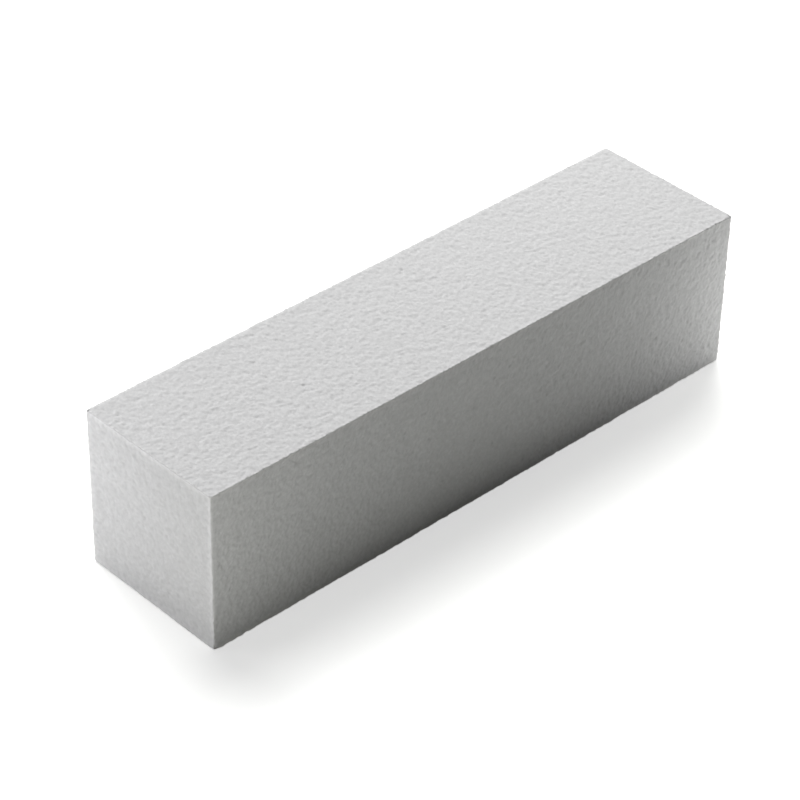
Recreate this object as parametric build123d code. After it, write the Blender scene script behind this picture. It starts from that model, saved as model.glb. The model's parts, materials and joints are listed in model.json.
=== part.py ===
from build123d import *

import os

# Nail buffer block: a bar of fine closed-cell foam with an abrasive coat on each of its four long faces.
#
# The foam bar is coated in two rounds and then cross-cut to length. The first round is the bond coat,
# a film of resin on each long face. The second is the grit coat, abrasive grains locked in their size
# resin. In each round the top and bottom are coated first and the sides after them, so a side layer
# covers the edges of the top and bottom layers of its own round. Both ends show bare foam with the
# coats' cut edges around it.
#
# Frame: millimetres, X along the length, Y across the width, Z up. The origin is at the centre of the
# face that the block rests on, and the front is the -Y side.

# Driving dimensions, in millimetres.
BLOCK_LENGTH = 95.0  # the standard cross-cut length of a buffer block
CORE_WIDTH = 23.6  # slit width of the foam bar
CORE_HEIGHT = 24.0  # thickness of the foam sheet
BOND_THICKNESS = 0.12  # resin film that fills the foam's surface cells
GRIT_THICKNESS = 0.23  # one layer of 100-grit grains and the size resin over them
EDGE_RADIUS = 0.2  # roundness of the block's long edges, less than the grit coat's thickness

# Sizes and places worked out from them.
COAT_THICKNESS = BOND_THICKNESS + GRIT_THICKNESS
BLOCK_HEIGHT = CORE_HEIGHT + 2 * COAT_THICKNESS
MID_HEIGHT = BLOCK_HEIGHT / 2

# Each layer of a coat: its thickness, and the thickness of what lies between it and the foam.
LAYERS = {
    "bond_coat": (BOND_THICKNESS, 0),
    "grit_coat": (GRIT_THICKNESS, BOND_THICKNESS),
}

PARTS_FOLDER = "parts"


def foam_core():
    """The foam bar, sawn square, lifted by the bottom coat's thickness."""
    return Pos(0, 0, MID_HEIGHT) * Box(BLOCK_LENGTH, CORE_WIDTH, CORE_HEIGHT)


def flat_layer(layer, side):
    """One layer of the top coat (side 1) or the bottom coat (side -1), as wide as what is under it."""
    thickness, depth = LAYERS[layer]
    middle = MID_HEIGHT + side * (CORE_HEIGHT / 2 + depth + thickness / 2)
    return Pos(0, 0, middle) * Box(BLOCK_LENGTH, CORE_WIDTH + 2 * depth, thickness)


def side_layer(layer, side):
    """One layer of the rear coat (side 1) or the front coat (side -1), over the edges of the flat ones."""
    thickness, depth = LAYERS[layer]
    middle = side * (CORE_WIDTH / 2 + depth + thickness / 2)
    height = CORE_HEIGHT + 2 * (depth + thickness)
    slab = Pos(0, middle, MID_HEIGHT) * Box(BLOCK_LENGTH, thickness, height)
    if layer == "bond_coat":
        return slab
    outer_face = slab.faces().sort_by(Axis.Y)[-1 if side > 0 else 0]
    return fillet(outer_face.edges().filter_by(Axis.X), EDGE_RADIUS)


def block():
    """Every piece of the block by name."""
    pieces = {"foam_core": foam_core()}
    for layer in LAYERS:
        pieces[f"top_{layer}"] = flat_layer(layer, 1)
        pieces[f"bottom_{layer}"] = flat_layer(layer, -1)
        pieces[f"front_{layer}"] = side_layer(layer, -1)
        pieces[f"rear_{layer}"] = side_layer(layer, 1)
    return pieces


def main():
    os.makedirs(PARTS_FOLDER, exist_ok=True)
    for name, shape in block().items():
        export_step(shape, os.path.join(PARTS_FOLDER, f"{name}.step"))
        print(f"{name}: {shape.volume:.1f} mm3")


main()
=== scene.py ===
import json
import math

import bpy
import numpy as np
from mathutils import Matrix, Vector

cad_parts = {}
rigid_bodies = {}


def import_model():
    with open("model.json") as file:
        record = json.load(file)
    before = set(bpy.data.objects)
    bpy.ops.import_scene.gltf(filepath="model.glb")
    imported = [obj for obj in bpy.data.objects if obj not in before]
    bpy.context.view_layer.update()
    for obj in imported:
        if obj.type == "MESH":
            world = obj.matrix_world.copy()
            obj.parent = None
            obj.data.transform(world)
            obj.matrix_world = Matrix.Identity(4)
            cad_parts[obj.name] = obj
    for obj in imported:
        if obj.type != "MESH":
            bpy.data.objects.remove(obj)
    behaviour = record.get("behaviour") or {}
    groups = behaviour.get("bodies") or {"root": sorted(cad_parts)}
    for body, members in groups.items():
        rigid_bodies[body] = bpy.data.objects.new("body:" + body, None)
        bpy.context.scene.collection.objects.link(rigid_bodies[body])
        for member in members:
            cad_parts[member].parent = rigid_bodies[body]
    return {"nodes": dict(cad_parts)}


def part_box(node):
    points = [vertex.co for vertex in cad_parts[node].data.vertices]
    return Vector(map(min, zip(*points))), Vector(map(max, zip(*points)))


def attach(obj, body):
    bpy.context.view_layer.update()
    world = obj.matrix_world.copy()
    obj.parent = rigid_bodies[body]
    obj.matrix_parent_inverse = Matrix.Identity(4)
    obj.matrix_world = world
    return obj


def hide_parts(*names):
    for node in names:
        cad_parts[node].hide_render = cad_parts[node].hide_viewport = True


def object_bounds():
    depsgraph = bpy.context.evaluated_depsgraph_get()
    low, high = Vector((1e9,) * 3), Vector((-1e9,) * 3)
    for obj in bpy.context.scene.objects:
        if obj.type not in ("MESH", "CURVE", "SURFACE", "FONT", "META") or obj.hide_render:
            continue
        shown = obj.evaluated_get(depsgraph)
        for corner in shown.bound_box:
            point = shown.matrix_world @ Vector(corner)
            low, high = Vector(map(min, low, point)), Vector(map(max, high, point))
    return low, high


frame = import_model()

# Nail buffer block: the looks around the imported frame. Everything is in metres, X along the block,
# Y across it, Z up. Relief is worked out in millimetres on the block's unrolled skin.

MM = 0.001
SEED = 11

cad_low, cad_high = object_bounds()
LENGTH = cad_high.x - cad_low.x
CENTRE = (cad_low + cad_high) / 2

# ---------------------------------------------------------------- random relief

SPECK_HEIGHTS = (0.4, 1.0)  # the lowest and the highest of the scattered bumps
LINE_MIDDLE = 0.3
LINE_SPREAD = 0.45

rng = np.random.default_rng(SEED)


def band_noise(shape, pitch, finest, coarsest):
    """Random relief that wraps round, of unit spread, with features between two sizes in mm."""
    rows = np.fft.fftfreq(shape[0], pitch[0])[:, None]
    columns = np.fft.rfftfreq(shape[1], pitch[1])[None, :]
    frequency = np.hypot(rows, columns)
    keep = np.exp(-((frequency * finest) ** 2)) - np.exp(-((frequency * coarsest) ** 2))
    noise = np.fft.rfft2(rng.standard_normal(shape))
    field = np.fft.irfft2(noise * keep, s=shape)
    return field / field.std()


def specks(shape, pitch, per_mm2, radius):
    """Round bumps from 0 to 1 high, scattered at random, that wrap round."""
    chance = per_mm2 * pitch[0] * pitch[1]
    impulses = (rng.random(shape) < chance) * rng.uniform(*SPECK_HEIGHTS, shape)
    rows = np.fft.fftfreq(shape[0], pitch[0])[:, None]
    columns = np.fft.rfftfreq(shape[1], pitch[1])[None, :]
    blur = np.exp(-((np.pi * radius) ** 2) * (rows**2 + columns**2))
    field = np.fft.irfft2(np.fft.rfft2(impulses) * blur, s=shape)
    single_peak = pitch[0] * pitch[1] / (np.pi * radius**2)
    return np.clip(field / single_peak, 0, 1)


def line_noise(count, pitch, finest, coarsest):
    """Band noise along a line, from 0 to 1, mostly low with a few peaks."""
    line = band_noise((count, 1), (pitch, 1.0), finest, coarsest)[:, 0]
    return np.clip(LINE_MIDDLE + LINE_SPREAD * line, 0, 1)


# ---------------------------------------------------------------- the coats' skin

SKIN_PITCH = 0.16  # mm between points of the relief
ARC_STEPS = 4  # steps round each long edge
EDGE_RADIUS = 0.1  # mm, tighter than on the CAD coats, because the wear rounds the edges further

stations = round(LENGTH / MM / SKIN_PITCH) + 1
along = np.linspace(cad_low.x, cad_high.x, stations) / MM


class Outline:
    """One coat's cross-section: points in mm, outward normals, and distances round the block."""

    def __init__(self, start):
        self.points, self.normals, self.travel = [], [], []
        self.reached = start

    def add(self, point, normal):
        if self.points:
            self.reached += math.dist(point, self.points[-1])
        self.points.append(point)
        self.normals.append(normal)
        self.travel.append(self.reached)

    def line(self, start, end, normal, steps):
        for i in range(0 if not self.points else 1, steps + 1):
            t = i / steps
            point = (start[0] + t * (end[0] - start[0]), start[1] + t * (end[1] - start[1]))
            self.add(point, normal)

    def arc(self, middle, radius, first, last):
        for i in range(1, ARC_STEPS + 1):
            a = math.radians(first + (last - first) * i / ARC_STEPS)
            normal = (math.cos(a), math.sin(a))
            point = (middle[0] + radius * normal[0], middle[1] + radius * normal[1])
            self.add(point, normal)


def flat_outline(node, start, side):
    """Across the top (side 1, towards +Y) or the bottom (side -1, towards -Y)."""
    low, high = (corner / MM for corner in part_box(node))
    outline = Outline(start)
    z = high.z if side > 0 else low.z
    ends = ((low.y, z), (high.y, z)) if side > 0 else ((high.y, z), (low.y, z))
    outline.line(*ends, (0, side), round((high.y - low.y) / SKIN_PITCH))
    return outline


def side_outline(node, start, side):
    """Down the rear (side 1) or up the front (side -1), round both long edges."""
    low, high = (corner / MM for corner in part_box(node))
    outer, inner = (high.y, low.y) if side > 0 else (low.y, high.y)
    middle = outer - side * EDGE_RADIUS
    first_z, last_z = (high.z, low.z) if side > 0 else (low.z, high.z)
    inset = side * EDGE_RADIUS
    turn = 90 if side > 0 else 270
    outline = Outline(start)
    outline.line((inner, first_z), (middle, first_z), (0, side), 1)
    outline.arc((middle, first_z - inset), EDGE_RADIUS, turn, turn - 90)
    steps = round((high.z - low.z - 2 * EDGE_RADIUS) / SKIN_PITCH)
    outline.line((outer, first_z - inset), (outer, last_z + inset), (side, 0), steps)
    outline.arc((middle, last_z + inset), EDGE_RADIUS, turn - 90, turn - 180)
    outline.line((middle, last_z), (inner, last_z), (0, -side), 1)
    return outline


outlines = {}
travelled = 0.0
for coat, maker, side in (
    ("top_grit_coat", flat_outline, 1),
    ("rear_grit_coat", side_outline, 1),
    ("bottom_grit_coat", flat_outline, -1),
    ("front_grit_coat", side_outline, -1),
):
    outlines[coat] = maker(coat, travelled, side)
    travelled = outlines[coat].reached
GIRTH = travelled

# Relief over the whole skin, one row per station along the block and one column per step round it.
columns = round(GIRTH / SKIN_PITCH)
skin_pitch = (LENGTH / MM / (stations - 1), GIRTH / columns)
skin_shape = (stations, columns)

FINE_HEIGHT = 0.004  # mm, spread of the single grains
CLUSTER_HEIGHT = 0.0153  # mm, spread of the grain clusters
DRIFT_HEIGHT = 0.019  # mm, spread of the thicker and thinner places in the coat
WAVE_HEIGHT = 0.008  # mm, spread of the foam's slow unevenness
PIT_DEPTH = 0.05  # mm, where a grain is missing
LUMP_HEIGHT = 0.03  # mm, over the odd large grain
RESIN_SHRINK = 0.015  # mm, the coat's middle height under the CAD skin
PROUD = 0.03  # mm, how far the tallest grains may stand out of the CAD skin
# mm, the smallest and the largest features of each
FINE_BAND = (0.34, 0.75)
CLUSTER_BAND = (0.65, 1.5)
DRIFT_BAND = (1.4, 3.2)
WAVE_BAND = (4.0, 14.0)
# how many to a square mm, and their radius in mm
PITS = (0.06, 0.2)
LUMPS = (0.8, 0.24)
GRAIN_SHARE = 0.7  # of the clusters and of the single grains in the height that the material reads for its painted shade in the hollows
fine = band_noise(skin_shape, skin_pitch, *FINE_BAND)
clusters = band_noise(skin_shape, skin_pitch, *CLUSTER_BAND)
drifts = band_noise(skin_shape, skin_pitch, *DRIFT_BAND)
waves = band_noise(skin_shape, skin_pitch, *WAVE_BAND)
pits = specks(skin_shape, skin_pitch, *PITS)
lumps = specks(skin_shape, skin_pitch, *LUMPS)
grain_height = GRAIN_SHARE * clusters + GRAIN_SHARE * fine
relief = FINE_HEIGHT * fine + CLUSTER_HEIGHT * clusters + DRIFT_HEIGHT * drifts + WAVE_HEIGHT * waves
relief += LUMP_HEIGHT * lumps - PIT_DEPTH * pits - RESIN_SHRINK

# Wear along the four long edges and at the eight corners.
edge_travel = []
for coat in ("rear_grit_coat", "front_grit_coat"):
    travel = outlines[coat].travel
    half_arc = EDGE_RADIUS * math.pi / 4
    shoulder = travel[1]
    edge_travel += [shoulder + half_arc, travel[-2] - half_arc]
# mm, the deepest wear of the long edges: top rear, bottom rear, bottom front, top front
EDGE_WEAR = (0.13, 0.05, 0.05, 0.13)
WEAR_REACH = 0.2  # mm, from a long edge
EDGE_LINE_BAND = (0.28, 0.9)  # mm, the smallest and the largest nicks along a long edge
END_WEAR = 0.13  # mm, at the coats' sawn ends
END_REACH = 0.17  # mm, from the ends
END_LINE_BAND = (0.5, 2.0)  # mm, the same along an end's outline
END_LEAST = 0.35  # the share of the wear that the least worn places of an end have
CORNER_WEAR = 0.05  # mm, at all eight corners
CORNER_REACH = 0.4  # mm
CHIP_DEPTH = 0.12  # mm
CHIP_REACH = 0.42  # mm
CHIP_RESIN_AND_SHADE = 1.6  # how strongly a chip shows the darker resin and painted shade, cut off at 1
PIT_RESIN_AND_SHADE = 0.6  # how strongly a pit shows the darker resin and painted shade
EDGE_HIGHLIGHT_REACH = 0.3  # mm, how far from a long edge the painted highlight reaches
END_HIGHLIGHT = 0.55  # the same painted highlight at the ends, as a share of the long edges'
RAGGED_DEPTH = 0.02  # mm, spread of the coats' sawn ends
RAGGED_BAND = (0.3, 1.5)  # mm, its smallest and largest features
# The corners with a grain knocked off: which long edge, in the order above, and which end of it.
# The photograph shows the first two and the last. The third is hidden from it.
CHIPS = ((0, 0), (3, -1), (1, -1), (2, 0))
end_distance = np.minimum(along - along[0], along[-1] - along)


def wear(travel):
    """How far the edges are worn back at every station, at these distances round the block."""
    total = np.zeros((stations, len(travel)))
    for edge, line, deepest in zip(edge_travel, edge_lines, EDGE_WEAR):
        away = away_from(edge, travel)
        total += deepest * line[:, None] * np.exp(-((away / WEAR_REACH) ** 2))
        corner = np.exp(-(end_distance[:, None] ** 2 + away[None, :] ** 2) / CORNER_REACH**2)
        total += CORNER_WEAR * corner
    fall = np.exp(-((end_distance / END_REACH) ** 2))
    left, right = (end_share(line, travel) for line in end_lines)
    nearer = np.where(along[:, None] < 0, left, right)
    total += END_WEAR * fall[:, None] * nearer
    return total + CHIP_DEPTH * chipped(travel)


def end_share(line, travel):
    """The share of its wear that one end has, at these distances round the block."""
    share = np.interp(np.asarray(travel) % GIRTH, np.arange(columns) * skin_pitch[1], line)
    return share[None, :]


def away_from(edge, travel):
    """Distances round the block from a long edge."""
    away = np.abs(np.asarray(travel) - edge)
    return np.minimum(away, GIRTH - away)


def chipped(travel):
    """Near 1 in the chipped corners and 0 away from them, at these distances round the block."""
    total = np.zeros((stations, len(travel)))
    for edge, end in CHIPS:
        away = away_from(edge_travel[edge], travel)
        distance = (along - along[end])[:, None] ** 2 + away[None, :] ** 2
        total += np.exp(-distance / CHIP_REACH**2)
    return total


def edge_nearness(travel):
    """The painted highlight's mask: near 1 at the long edges and less at the ends, at these distances
    round the block.
    """
    reaches = [away_from(edge, travel) / EDGE_HIGHLIGHT_REACH for edge in edge_travel]
    line = sum(np.exp(-(reach**2)) for reach in reaches)
    end = END_HIGHLIGHT * np.exp(-((end_distance / END_REACH) ** 2))
    return np.maximum(line[None, :], end[:, None])


edge_lines = [line_noise(stations, skin_pitch[0], *EDGE_LINE_BAND) for _ in edge_travel]
end_lines = [
    END_LEAST + (1 - END_LEAST) * line_noise(columns, skin_pitch[1], *END_LINE_BAND)
    for _ in ("left", "right")
]


def sample(field, travel):
    """The skin field's columns at these distances round the block."""
    place = np.asarray(travel) / skin_pitch[1] % columns
    left = np.floor(place).astype(int) % columns
    share = place - np.floor(place)
    return field[:, left] * (1 - share) + field[:, (left + 1) % columns] * share


GRIT_SHARP_ANGLE = 62  # degrees, the least turn between faces that stays a crisp edge
FOAM_SHARP_ANGLE = 50


def swept_mesh(name, rings):
    """A closed mesh through rings of points, one ring per station, with an n-gon cap at each end."""
    count, around = rings.shape[:2]
    index = np.arange(count * around).reshape(count, around)
    after = np.roll(index, -1, axis=1)
    quads = np.stack([index[:-1], index[1:], after[1:], after[:-1]], axis=-1).reshape(-1, 4)
    faces = quads.tolist() + [index[0].tolist(), index[-1][::-1].tolist()]
    mesh = bpy.data.meshes.new(name)
    mesh.from_pydata((rings.reshape(-1, 3) * MM).tolist(), [], faces)
    return mesh


def add_attribute(mesh, name, values):
    attribute = mesh.attributes.new(name, "FLOAT", "POINT")
    attribute.data.foreach_set("value", np.ascontiguousarray(values, dtype=np.float32).ravel())


def finish_piece(mesh, material, sharp_angle):
    mesh.validate()
    mesh.materials.append(material)
    mesh.polygons.foreach_set("use_smooth", np.ones(len(mesh.polygons), dtype=bool))
    mesh.set_sharp_from_angle(angle=math.radians(sharp_angle))
    piece = bpy.data.objects.new(mesh.name, mesh)
    bpy.context.scene.collection.objects.link(piece)
    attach(piece, "root")
    return piece


def grit_coat(node, material):
    """One coat's grains and resin: relief outside, and its CAD solid's plain corners inside."""
    outline = outlines[node]
    points = np.array(outline.points)
    normals = np.array(outline.normals)
    worn = wear(outline.travel)
    depth = np.minimum(sample(relief, outline.travel) - worn, PROUD)
    skin = points[None, :, :] + depth[:, :, None] * normals[None, :, :]
    places = np.arange(columns) * skin_pitch[1]
    ragged = RAGGED_DEPTH * np.abs(np.interp(outline.travel, places, ragged_line))
    x = np.repeat(along[:, None], len(points), axis=1)
    x[0] += ragged
    x[-1] -= ragged
    low, high = (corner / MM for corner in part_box(node))
    inner = []
    if node.startswith("top"):
        inner = [(high.y, low.z), (low.y, low.z)]
    if node.startswith("bottom"):
        inner = [(low.y, high.z), (high.y, high.z)]
    rings = np.concatenate([x[:, :, None], skin], axis=2)
    if inner:
        inner_x = np.repeat(along[:, None], len(inner), axis=1)[:, :, None]
        inner_points = np.repeat(np.array(inner)[None], stations, axis=0)
        rings = np.concatenate([rings, np.concatenate([inner_x, inner_points], axis=2)], axis=1)
    mesh = swept_mesh(node.replace("_coat", ""), rings)
    extra = np.zeros((stations, len(inner)))
    height = np.concatenate([sample(grain_height, outline.travel), extra], axis=1)
    # Pits and chips darker: partly the exposed resin, partly painted shade.
    pit_resin_and_shade = PIT_RESIN_AND_SHADE * sample(pits, outline.travel)
    bare_resin_and_shade = np.clip(pit_resin_and_shade + CHIP_RESIN_AND_SHADE * chipped(outline.travel), 0, 1)
    # The height that the material reads for its painted shade in the hollows.
    add_attribute(mesh, "height", height)
    # The exposed resin of pits and chips, which also carries painted shade.
    add_attribute(mesh, "worn", np.concatenate([bare_resin_and_shade, extra], axis=1))
    # The mask of the painted highlight along the long edges and the ends.
    add_attribute(mesh, "edge", np.concatenate([edge_nearness(outline.travel), extra], axis=1))
    piece = finish_piece(mesh, material, GRIT_SHARP_ANGLE)
    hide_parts(node)


ragged_line = band_noise((columns, 1), (skin_pitch[1], 1.0), *RAGGED_BAND)[:, 0]

# ---------------------------------------------------------------- the foam bar

FOAM_PITCH = 0.15  # mm between points of the sawn faces
RIM_REACH = 0.6  # mm, how far in from the end's edges the painted highlight reaches
FLUSH_REACH = 0.35  # mm, how far in from the coats the sawn face stays level with them
FLUSH_SHARE = 0.85  # how level it is there
SAWN_DEPTH = 0.045  # mm, the sawn face's middle, in from the CAD end
CELL_HEIGHT = 0.016  # mm, spread of the cells
FOAM_DRIFT_HEIGHT = 0.022  # mm, spread of the shallow hollows
FOAM_WAVE_HEIGHT = 0.012  # mm, spread of the slow unevenness
PORE_DEPTH = 0.04  # mm
FINE_SHARE = 0.25  # of the small cells
COARSE_SHARE = 0.95  # of the large ones
PORE_SHADE = 3  # how deep a pore reads in the material, beside the cells, for its painted shade
# mm, the smallest and the largest features of each
FINE_CELL_BAND = (0.26, 0.6)
COARSE_CELL_BAND = (0.7, 1.8)
FOAM_DRIFT_BAND = (1.8, 4.0)
FOAM_WAVE_BAND = (4.0, 12.0)
PORES = (0.12, 0.17)  # how many to a square mm, and their radius in mm


def foam_bar(material):
    """The foam core with a sawn, fine-celled face at each end."""
    low, high = (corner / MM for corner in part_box("foam_core"))
    across = np.linspace(low.y, high.y, round((high.y - low.y) / FOAM_PITCH) + 1)
    up = np.linspace(low.z, high.z, round((high.z - low.z) / FOAM_PITCH) + 1)
    shape = (len(across), len(up))
    pitch = (across[1] - across[0], up[1] - up[0])
    y, z = np.meshgrid(across, up, indexing="ij")
    index = np.arange(shape[0] * shape[1]).reshape(shape)
    points, faces, heights, rims = [], [], [], []
    corners = [index[:-1, :-1], index[1:, :-1], index[1:, 1:], index[:-1, 1:]]
    quads = np.stack(corners, axis=-1).reshape(-1, 4)
    for end in (-1, 1):
        small = band_noise(shape, pitch, *FINE_CELL_BAND)
        large = band_noise(shape, pitch, *COARSE_CELL_BAND)
        cells = FINE_SHARE * small + COARSE_SHARE * large
        drifts = band_noise(shape, pitch, *FOAM_DRIFT_BAND)
        waves = band_noise(shape, pitch, *FOAM_WAVE_BAND)
        pores = specks(shape, pitch, *PORES)
        depth = SAWN_DEPTH - CELL_HEIGHT * cells - FOAM_DRIFT_HEIGHT * drifts
        depth = depth - FOAM_WAVE_HEIGHT * waves + PORE_DEPTH * pores
        inset = np.minimum(np.minimum(y - low.y, high.y - y), np.minimum(z - low.z, high.z - z))
        level = FLUSH_SHARE * np.exp(-((inset / FLUSH_REACH) ** 2))
        depth = np.maximum(depth, 0.0) * (1 - level)
        edge = along[0] if end < 0 else along[-1]
        points.append(np.stack([edge - end * depth, y, z], axis=-1).reshape(-1, 3))
        # The height that the material reads for its painted shade in the low cells and pores.
        heights.append(cells - PORE_SHADE * pores)
        # The painted highlight's mask along the end's edges.
        rims.append(np.exp(-((inset / RIM_REACH) ** 2)))
        base = 0 if end < 0 else index.size
        faces += ((quads[:, ::-1] if end < 0 else quads) + base).tolist()
    loop = np.concatenate([index[:-1, 0], index[-1, :-1], index[:0:-1, -1], index[0, :0:-1]])
    following = np.roll(loop, -1)
    walls = np.stack([loop, loop + index.size, following + index.size, following], axis=-1)
    faces += walls[:, ::-1].tolist()
    mesh = bpy.data.meshes.new("foam_bar")
    mesh.from_pydata((np.concatenate(points) * MM).tolist(), [], faces)
    add_attribute(mesh, "height", np.concatenate([h.ravel() for h in heights]))
    add_attribute(mesh, "rim", np.concatenate([r.ravel() for r in rims]))
    piece = finish_piece(mesh, material, FOAM_SHARP_ANGLE)
    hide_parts("foam_core")


# ---------------------------------------------------------------- materials


class Nodes:
    """A material's node tree with short calls."""

    def __init__(self, name):
        self.material = bpy.data.materials.new(name)
        self.material.use_nodes = True
        self.tree = self.material.node_tree
        self.shader = self.tree.nodes["Principled BSDF"]

    def add(self, kind, inputs=(), **settings):
        node = self.tree.nodes.new(kind)
        for key, value in settings.items():
            setattr(node, key, value)
        for key, value in dict(inputs).items():
            self.set(node, key, value)
        return node

    def set(self, node, key, value):
        socket = node.inputs[key]
        if isinstance(value, bpy.types.NodeSocket):
            self.tree.links.new(value, socket)
        else:
            socket.default_value = value

    def millimetres(self):
        place = self.add("ShaderNodeTexCoord").outputs["Object"]
        scaled = self.add("ShaderNodeVectorMath", {0: place, "Scale": 1 / MM}, operation="SCALE")
        return scaled.outputs[0]

    def noise(self, place, scale, detail=2.0, roughness=0.5):
        inputs = {"Vector": place, "Scale": scale, "Detail": detail, "Roughness": roughness}
        return self.add("ShaderNodeTexNoise", inputs).outputs["Fac"]

    def cells(self, place, scale, feature="F1", output="Distance"):
        inputs = {"Vector": place, "Scale": scale}
        return self.add("ShaderNodeTexVoronoi", inputs, feature=feature).outputs[output]

    def math(self, operation, a, b):
        return self.add("ShaderNodeMath", {0: a, 1: b}, operation=operation).outputs[0]

    def spread(self, value, low, high, to_low, to_high):
        inputs = {"Value": value, "From Min": low, "From Max": high, "To Min": to_low, "To Max": to_high}
        return self.add("ShaderNodeMapRange", inputs).outputs[0]

    def attribute(self, name):
        return self.add("ShaderNodeAttribute", attribute_name=name).outputs["Fac"]

    def mix(self, share, first, second):
        node = self.add("ShaderNodeMix", data_type="RGBA")
        self.set(node, 0, share)
        self.set(node, 6, first)
        self.set(node, 7, second)
        return node.outputs[2]

    def bump(self, height, distance, strength, under=None):
        """Bump this many mm deep, laid over another bump where there is one."""
        inputs = {"Height": height, "Distance": distance * MM, "Strength": strength}
        if under is not None:
            inputs["Normal"] = under
        return self.add("ShaderNodeBump", inputs).outputs[0]


def grey(value, warmth=0.0):
    """A grey with a little more red and less blue as warmth grows."""
    return (value * (1 + warmth), value, value * (1 - warmth), 1.0)


NOISE_RANGE = (0.3, 0.7)  # where nearly all of a noise node's values lie

# Each pattern's features to a mm, each bump's depth in mm and strength, and the greys.
GRAINS = 5.5
BEADS = 2.0
GRAIN_MOTTLE = 1.7
GRAIN_CLOUDS = 0.16
GRAIN_FINISH = 9.0
BEAD_BUMP = (0.05, 0.42)
FACET_BUMP = (0.03, 0.2)
GRAIN_BUMP = (0.015, 0.25)
PALE_GRAINS = (0.645, 0.685)
DARK_GRAINS = (0.57, 0.605)
CLOUD_GREY = 0.56
CLOUD_SHARE = 0.16
# Painted shade: darker in the relief's hollows.
HOLLOW_SHADE_GREY = 0.50
HOLLOW_SHADE_SHARE = 0.5
HOLLOW_HEIGHTS = (-2.6, 1.2)  # of the height attribute, from the deepest hollow to none
# A pale, slightly warm painted highlight along the long edges and the ends.
EDGE_HIGHLIGHT_GREY = 0.80
EDGE_HIGHLIGHT_WARMTH = 0.006
EDGE_HIGHLIGHT_SHARE = 0.75
# Darker in the pits and chips: partly the exposed resin, partly painted shade.
RESIN_AND_SHADE_GREY = 0.34
RESIN_AND_SHADE_SHARE = 0.85
GLINTING = (0.9, 1.0)  # the tenth of the grains that shine, by their random shade
GRIT_ROUGHNESS = (0.86, 0.45)


def grit_material():
    """Pale grains, each its own shade, with painted shade in the hollows, a painted highlight along the
    edges, and darker resin with painted shade in the pits and chips.
    """
    m = Nodes("grit")
    place = m.millimetres()
    grain = m.cells(place, GRAINS, output="Color")
    shade = m.add("ShaderNodeSeparateColor", {0: grain})
    pale, dark = (
        m.mix(shade.outputs[0], grey(low_grey), grey(high_grey))
        for low_grey, high_grey in (PALE_GRAINS, DARK_GRAINS)
    )
    mottle = m.spread(m.noise(place, GRAIN_MOTTLE, 2.0, 0.6), *NOISE_RANGE, 0.0, 1.0)
    grains = m.mix(mottle, pale, dark)
    cloud = m.spread(m.noise(place, GRAIN_CLOUDS, 3.0), *NOISE_RANGE, 0.0, 1.0)
    clouded = m.mix(m.math("MULTIPLY", cloud, CLOUD_SHARE), grains, grey(CLOUD_GREY))
    # Painted shade in the hollows of the relief.
    hollow = m.spread(m.attribute("height"), *HOLLOW_HEIGHTS, HOLLOW_SHADE_SHARE, 0.0)
    shaded = m.mix(hollow, clouded, grey(HOLLOW_SHADE_GREY))
    # Painted highlight along the edges.
    highlight_mask = m.math("MULTIPLY", m.attribute("edge"), EDGE_HIGHLIGHT_SHARE)
    highlighted = m.mix(highlight_mask, shaded, grey(EDGE_HIGHLIGHT_GREY, EDGE_HIGHLIGHT_WARMTH))
    # Exposed resin and painted shade in the pits and chips.
    bare_resin_and_shade = m.math("MULTIPLY", m.attribute("worn"), RESIN_AND_SHADE_SHARE)
    m.set(m.shader, "Base Color", m.mix(bare_resin_and_shade, highlighted, grey(RESIN_AND_SHADE_GREY)))
    m.set(m.shader, "Roughness", m.spread(shade.outputs[1], *GLINTING, *GRIT_ROUGHNESS))
    m.set(m.shader, "Specular IOR Level", 0.35)
    beads = m.bump(m.math("SUBTRACT", 1.0, m.cells(place, BEADS)), *BEAD_BUMP)
    facets = m.bump(m.cells(place, GRAINS), *FACET_BUMP, beads)
    finish = m.noise(place, GRAIN_FINISH, 3.0, 0.6)
    m.set(m.shader, "Normal", m.bump(finish, *GRAIN_BUMP, facets))
    return m.material


CELLS = 3.8
FOAM_MOTTLE = 0.9
FOAM_CLOUDS = 0.14
FOAM_FINISH = 7.0
CELL_WALL = 0.14  # how far from a cell's border its paler wall reaches
CELL_GREYS = (0.60, 0.66)
WALL_GREY = 0.70
WALL_SHARE = 0.3
FOAM_MOTTLE_GREY = 0.56
FOAM_MOTTLE_SHARE = 0.75
FOAM_CLOUD_GREY = 0.59
FOAM_CLOUD_SHARE = 0.2
# Painted shade: darker in the low cells and the pores.
FOAM_HOLLOW_SHADE_GREY = 0.48
FOAM_HOLLOW_SHADE_SHARE = 0.55
FOAM_HOLLOW_HEIGHTS = (-3.0, 1.0)
# A painted highlight along the end's edges.
RIM_HIGHLIGHT_GREY = 0.74
RIM_HIGHLIGHT_SHARE = 0.5
FOAM_ROUGHNESS = (0.82, 0.97)
RIDGE_BUMP = (0.02, 0.35)
FOAM_BUMP = (0.02, 0.4)


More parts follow.
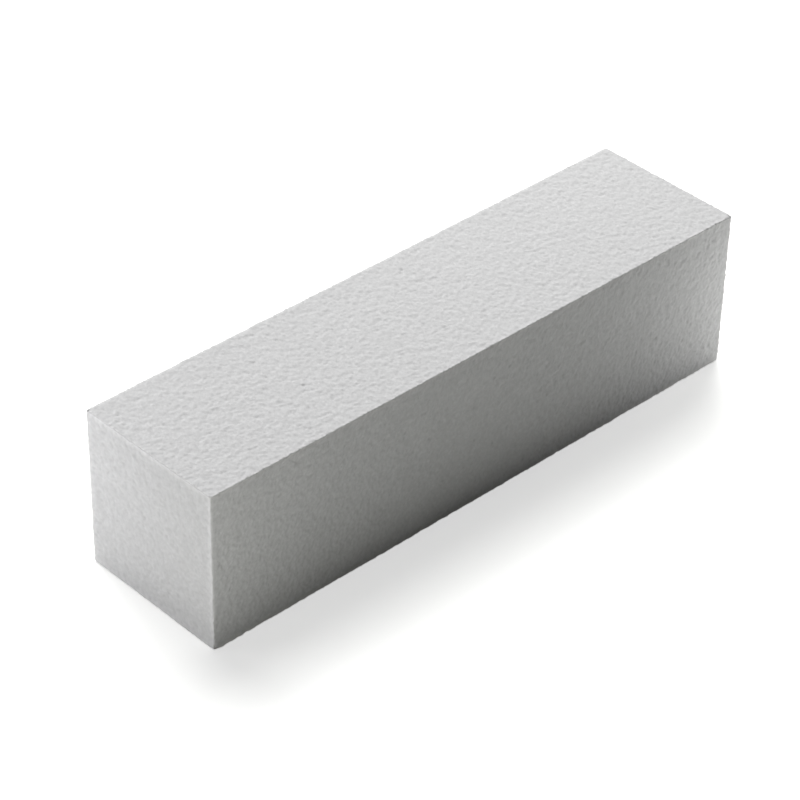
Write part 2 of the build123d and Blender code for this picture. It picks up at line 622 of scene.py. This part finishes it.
def foam_material():
    """Sawn foam: fine cells with paler walls, matt, with a painted highlight along the end's edges and
    painted shade in the low cells and pores.
    """
    m = Nodes("foam")
    place = m.millimetres()
    border = m.cells(place, CELLS, feature="DISTANCE_TO_EDGE")
    walls = m.spread(border, 0.0, CELL_WALL, 1.0, 0.0)
    cells = m.cells(place, CELLS, output="Color")
    shade = m.add("ShaderNodeSeparateColor", {0: cells})
    low_grey, high_grey = CELL_GREYS
    inside = m.mix(shade.outputs[0], grey(low_grey), grey(high_grey))
    cellular = m.mix(m.math("MULTIPLY", walls, WALL_SHARE), inside, grey(WALL_GREY))
    cloud = m.spread(m.noise(place, FOAM_CLOUDS, 3.0), *NOISE_RANGE, 0.0, FOAM_CLOUD_SHARE)
    patches = m.noise(place, FOAM_MOTTLE, 2.0, 0.6)
    mottle = m.spread(patches, *NOISE_RANGE, 0.0, FOAM_MOTTLE_SHARE)
    mottled = m.mix(mottle, cellular, grey(FOAM_MOTTLE_GREY))
    clouded = m.mix(cloud, mottled, grey(FOAM_CLOUD_GREY))
    # Painted shade in the low cells and pores.
    hollow = m.spread(m.attribute("height"), *FOAM_HOLLOW_HEIGHTS, FOAM_HOLLOW_SHADE_SHARE, 0.0)
    # Painted highlight along the end's edges.
    rim = m.math("MULTIPLY", m.attribute("rim"), RIM_HIGHLIGHT_SHARE)
    rim_highlighted = m.mix(rim, clouded, grey(RIM_HIGHLIGHT_GREY))
    m.set(m.shader, "Base Color", m.mix(hollow, rim_highlighted, grey(FOAM_HOLLOW_SHADE_GREY)))
    m.set(m.shader, "Roughness", m.spread(shade.outputs[1], 0.0, 1.0, *FOAM_ROUGHNESS))
    m.set(m.shader, "Specular IOR Level", 0.25)
    ridges = m.bump(walls, *RIDGE_BUMP)
    finish = m.noise(place, FOAM_FINISH, 2.0)
    m.set(m.shader, "Normal", m.bump(finish, *FOAM_BUMP, ridges))
    return m.material


BOND_PATCHES = 0.7
BOND_SHEEN = 4.0
BOND_GRAIN = 5.0
BOND_PATCH_RANGE = (0.38, 0.52)
BOND_GREYS = (0.60, 0.72)
BOND_ROUGHNESS = (0.5, 0.8)
BOND_BUMP = (0.02, 0.5)


def bond_material():
    """Cured resin in paler and darker patches, seen as a thin line at the ends."""
    m = Nodes("bond")
    place = m.millimetres()
    patches = m.spread(m.noise(place, BOND_PATCHES, 3.0, 0.6), *BOND_PATCH_RANGE, 0.0, 1.0)
    low_grey, high_grey = BOND_GREYS
    m.set(m.shader, "Base Color", m.mix(patches, grey(low_grey), grey(high_grey)))
    sheen = m.spread(m.noise(place, BOND_SHEEN), *NOISE_RANGE, *BOND_ROUGHNESS)
    m.set(m.shader, "Roughness", sheen)
    m.set(m.shader, "Normal", m.bump(m.noise(place, BOND_GRAIN), *BOND_BUMP))
    return m.material


FLOOR_COLOUR = (0.872, 0.88, 0.85, 1.0)
WALL_COLOUR = (0.985, 1.0, 0.965, 1.0)


def floor_material():
    m = Nodes("floor")
    m.set(m.shader, "Base Color", FLOOR_COLOUR)
    m.set(m.shader, "Roughness", 0.9)
    m.set(m.shader, "Specular IOR Level", 0.1)
    return m.material


def wall_material():
    """Black under an even glow, so that no light changes it."""
    m = Nodes("wall")
    m.set(m.shader, "Base Color", grey(0.0))
    m.set(m.shader, "Specular IOR Level", 0.0)
    m.set(m.shader, "Emission Color", WALL_COLOUR)
    m.set(m.shader, "Emission Strength", WALL_GLOW)
    return m.material


# ---------------------------------------------------------------- pieces

grit = grit_material()
for coat in outlines:
    grit_coat(coat, grit)
foam_bar(foam_material())
bond = bond_material()
for side in ("top", "bottom", "front", "rear"):
    for slot in frame["nodes"][f"{side}_bond_coat"].material_slots:
        slot.material = bond

# ---------------------------------------------------------------- camera

CAMERA_AZIMUTH = math.radians(-44.0)
CAMERA_ELEVATION = math.radians(36.34)
CAMERA_DISTANCE = 0.4043  # m from the block's middle
CAMERA_ROLL = math.radians(1.29)
CAMERA_OFFSET = (-0.00308, -0.00234)  # m, to the view's right and up
CAMERA_LENS = 134.6  # mm
SENSOR = 36.0  # mm
CLIP_START = 0.01  # m


def add_camera():
    """A camera at the photograph's angle."""
    back = Vector((
        math.sin(CAMERA_AZIMUTH) * math.cos(CAMERA_ELEVATION),
        -math.cos(CAMERA_AZIMUTH) * math.cos(CAMERA_ELEVATION),
        math.sin(CAMERA_ELEVATION),
    ))
    level = Vector((0, 0, 1)).cross(back).normalized()
    upright = back.cross(level)
    right = math.cos(CAMERA_ROLL) * level + math.sin(CAMERA_ROLL) * upright
    up = math.cos(CAMERA_ROLL) * upright - math.sin(CAMERA_ROLL) * level
    camera = bpy.data.objects.new("camera", bpy.data.cameras.new("camera"))
    place = CENTRE + CAMERA_DISTANCE * back + CAMERA_OFFSET[0] * right + CAMERA_OFFSET[1] * up
    turned = Matrix((right, up, back)).transposed().to_4x4()
    turned.translation = place
    camera.matrix_world = turned
    camera.data.lens = CAMERA_LENS
    camera.data.sensor_width = SENSOR
    camera.data.clip_start = CLIP_START
    bpy.context.scene.collection.objects.link(camera)
    bpy.context.scene.camera = camera


add_camera()

# ---------------------------------------------------------------- light and stage


def add_light(name, place, target, size, power, colour):
    data = bpy.data.lights.new(name, "AREA")
    data.size = size
    data.energy = power
    data.color = colour
    lamp = bpy.data.objects.new(name, data)
    lamp.location = place
    lamp.rotation_euler = (Vector(place) - Vector(target)).to_track_quat("Z", "Y").to_euler()
    lamp.visible_camera = False
    bpy.context.scene.collection.objects.link(lamp)
    return lamp


def direction(azimuth, elevation):
    """The way to a light, with the azimuth from +X towards +Y."""
    a, e = math.radians(azimuth), math.radians(elevation)
    return Vector((math.cos(a) * math.cos(e), math.sin(a) * math.cos(e), math.sin(e)))


def softbox(name, azimuth, elevation, distance, size, power, colour):
    """A square light that faces the block's middle."""
    place = CENTRE + distance * direction(azimuth, elevation)
    add_light(name, place, CENTRE, size, power, colour)


def window(name, azimuth, elevation, strength):
    """Light that is the same everywhere, as from a large far window."""
    data = bpy.data.lights.new(name, "SUN")
    data.energy = strength
    data.angle = WINDOW_ANGLE
    lamp = bpy.data.objects.new(name, data)
    lamp.rotation_euler = direction(azimuth, elevation).to_track_quat("Z", "Y").to_euler()
    bpy.context.scene.collection.objects.link(lamp)


WINDOW_ANGLE = math.radians(35)
FILL_COLOUR = (0.995, 1.0, 0.955)
LEFT_COLOUR = (1.003, 0.996, 1.03)
WHITE = (1, 1, 1)

# Name, azimuth and elevation in degrees, and strength in watts to a square metre.
WINDOWS = (
    ("window_high", 60, 60, 1.735),
    ("window_low", 60, 45, 1.165),
)
# Name, azimuth and elevation in degrees, distance and size in metres, power in watts, and colour.
SOFTBOXES = (
    ("softbox_rear", 60, 50, 0.12, 0.06, 0.0162, WHITE),
    ("softbox_rear_right", 30, 42, 0.30, 0.15, 0.267, WHITE),
    ("softbox_left", 150, 20, 0.18, 0.08, 0.034, LEFT_COLOUR),
)
# Where the cards aim: near the front's two ends, and at the left end.
CARD_INSET = 0.006
FRONT_LEFT = (cad_low.x + CARD_INSET, cad_low.y, 0.010)
FRONT_RIGHT = (cad_high.x - CARD_INSET, cad_low.y, 0.009)
END_MIDDLE = (cad_low.x, 0.006, 0.014)
# Name, place and aim in metres, size in metres, power in watts, and colour.
CARDS = (
    ("card_front_left", (-0.075, -0.040, 0.012), FRONT_LEFT, 0.030, 0.0060, FILL_COLOUR),
    ("card_left_high", (-0.085, 0.030, 0.030), END_MIDDLE, 0.030, 0.0074, LEFT_COLOUR),
    ("card_left_low", (-0.085, 0.020, 0.012), END_MIDDLE, 0.030, 0.0052, LEFT_COLOUR),
    ("card_right", (0.062, -0.030, 0.012), FRONT_RIGHT, 0.020, 0.0026, WHITE),
    ("card_right_low", (0.062, -0.035, 0.006), FRONT_RIGHT, 0.020, 0.0020, WHITE),
)

# The cards stand close to the block. They light it and not the floor under them.
block_only = bpy.data.collections.new("block_only")
for thing in bpy.context.scene.objects:
    if thing.type == "MESH":
        block_only.objects.link(thing)

for values in WINDOWS:
    window(*values)
for values in SOFTBOXES:
    softbox(*values)
for values in CARDS:
    card = add_light(*values)
    card.light_linking.receiver_collection = block_only

# The sky gives no light of its own.
world = bpy.data.worlds.new("studio")
world.use_nodes = True
world.node_tree.nodes["Background"].inputs["Color"].default_value = (1, 1, 1, 1)
world.node_tree.nodes["Background"].inputs["Strength"].default_value = 0.0
bpy.context.scene.world = world


FLOOR_REACH = 3.0  # m
WALL_HEIGHT = 3.0  # m
WALL_SIDES = 96
WALL_GLOW = 0.61  # nearly as bright as the floor far from the block
HAZE_HEIGHT = 0.00002  # m over the floor
HAZE_GLOW = 0.62  # at its brightest
HAZE_FULL = 0.2  # m from the middle, where the glow starts to fade
HAZE_REACH = 0.8  # m from the middle, where it ends
# The kinds of ray that don't see the wall and the haze, so that only the camera does.
UNSEEN_BY = ("diffuse", "glossy", "transmission", "volume_scatter", "shadow")


def haze_material():
    """Clear, with a pale glow that fades with distance. It makes the block's shadow look lighter."""
    m = Nodes("haze")
    place = m.add("ShaderNodeTexCoord").outputs["Object"]
    reach = m.add("ShaderNodeVectorMath", {0: place}, operation="LENGTH").outputs["Value"]
    strength = m.spread(reach, HAZE_FULL, HAZE_REACH, HAZE_GLOW, 0.0)
    glow = m.add("ShaderNodeEmission", {"Strength": strength})
    clear = m.add("ShaderNodeBsdfTransparent")
    both = m.add("ShaderNodeAddShader", {0: glow.outputs[0], 1: clear.outputs[0]})
    m.tree.links.new(both.outputs[0], m.tree.nodes["Material Output"].inputs["Surface"])
    m.tree.nodes.remove(m.shader)
    return m.material


def stage_object(name, points, faces, material):
    mesh = bpy.data.meshes.new(name)
    mesh.from_pydata(points, [], faces)
    mesh.materials.append(material)
    stage = bpy.data.objects.new(name, mesh)
    bpy.context.scene.collection.objects.link(stage)
    return stage


def circle(radius, height):
    """Points round the block's foot."""
    turns = [2 * math.pi * i / WALL_SIDES for i in range(WALL_SIDES)]
    return [(radius * math.cos(t), radius * math.sin(t), height) for t in turns]


def add_stage():
    """A pale floor, a pale glow just over it and a pale wall far round it.

    Only the camera sees the glow and the wall.
    """
    foot = circle(FLOOR_REACH, 0.0)
    head = circle(FLOOR_REACH, WALL_HEIGHT)
    whole = [tuple(range(WALL_SIDES))]
    stage_object("floor", foot, whole, floor_material())
    after = [(i + 1) % WALL_SIDES for i in range(WALL_SIDES)]
    faces = [(i, i + WALL_SIDES, j + WALL_SIDES, j) for i, j in enumerate(after)]
    wall = stage_object("backdrop", foot + head, faces, wall_material())
    haze = stage_object("haze", circle(HAZE_REACH, HAZE_HEIGHT), whole, haze_material())
    for stage in (wall, haze):
        for kind in UNSEEN_BY:
            setattr(stage, f"visible_{kind}", False)


add_stage()

bpy.context.scene.view_settings.view_transform = "Standard"
